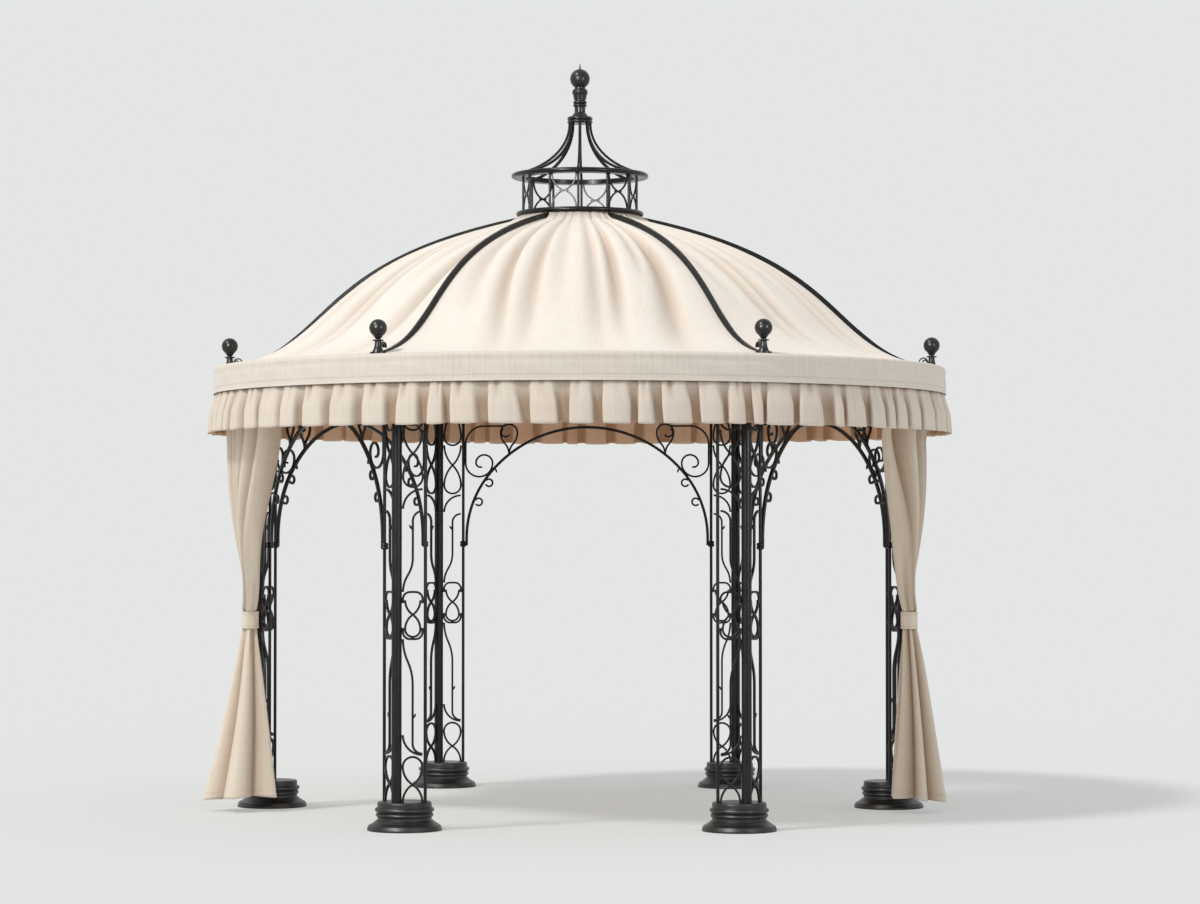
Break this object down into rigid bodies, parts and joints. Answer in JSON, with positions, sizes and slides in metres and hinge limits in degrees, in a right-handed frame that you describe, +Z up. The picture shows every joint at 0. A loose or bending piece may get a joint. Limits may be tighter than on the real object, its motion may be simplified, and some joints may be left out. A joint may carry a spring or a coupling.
{
  "type": "metal garden pergola",
  "caption": "Round open pergola with scrolled iron posts and arches, a domed fabric roof with ribs and a cupola, a ruffled valance and tied curtains.",
  "frame": {"origin": "on the ground at the middle of the pergola", "axes": "+Z up, -Y out of the open front bay, +X to the right seen from the front"},
  "size_m": [4.0758, 4.0758, 4.0834],
  "materials": {
    "black_iron": "satin powder coat",
    "cast_iron": "satin paint on castings",
    "roof_linen": "plain weave",
    "curtain_linen": "plain weave"
  },
  "bodies": {
    "root": {"base_right": "cast_iron", "base_back_right": "cast_iron", "base_back_left": "cast_iron", "base_left": "cast_iron", "base_front_left": "cast_iron", "base_front_right": "cast_iron", "post_right": "black_iron", "post_back_right": "black_iron", "post_back_left": "black_iron", "post_left": "black_iron", "post_front_left": "black_iron", "post_front_right": "black_iron", "scrolls_right": "black_iron", "scrolls_back_right": "black_iron", "scrolls_back_left": "black_iron", "scrolls_left": "black_iron", "scrolls_front_left": "black_iron", "scrolls_front_right": "black_iron", "arch_right": "black_iron", "arch_back": "black_iron", "arch_left": "black_iron", "arch_front_left": "black_iron", "arch_front_right": "black_iron", "eave_ring": "black_iron", "hem_hoop": "black_iron", "rib_right": "black_iron", "rib_back_right": "black_iron", "rib_back_left": "black_iron", "rib_left": "black_iron", "rib_front_left": "black_iron", "rib_front_right": "black_iron", "eave_finials": "cast_iron", "cupola_foot": "black_iron", "cupola_bars": "black_iron", "cupola_scrolls": "black_iron", "cupola_rim": "black_iron", "cupola_struts": "black_iron", "top_finial": "cast_iron", "canopy": "roof_linen", "band": "roof_linen", "ruffle": "roof_linen", "curtain_left": "curtain_linen", "curtain_right": "curtain_linen", "tieback_left": "curtain_linen", "tieback_right": "curtain_linen"}
  },
  "joints": []
}
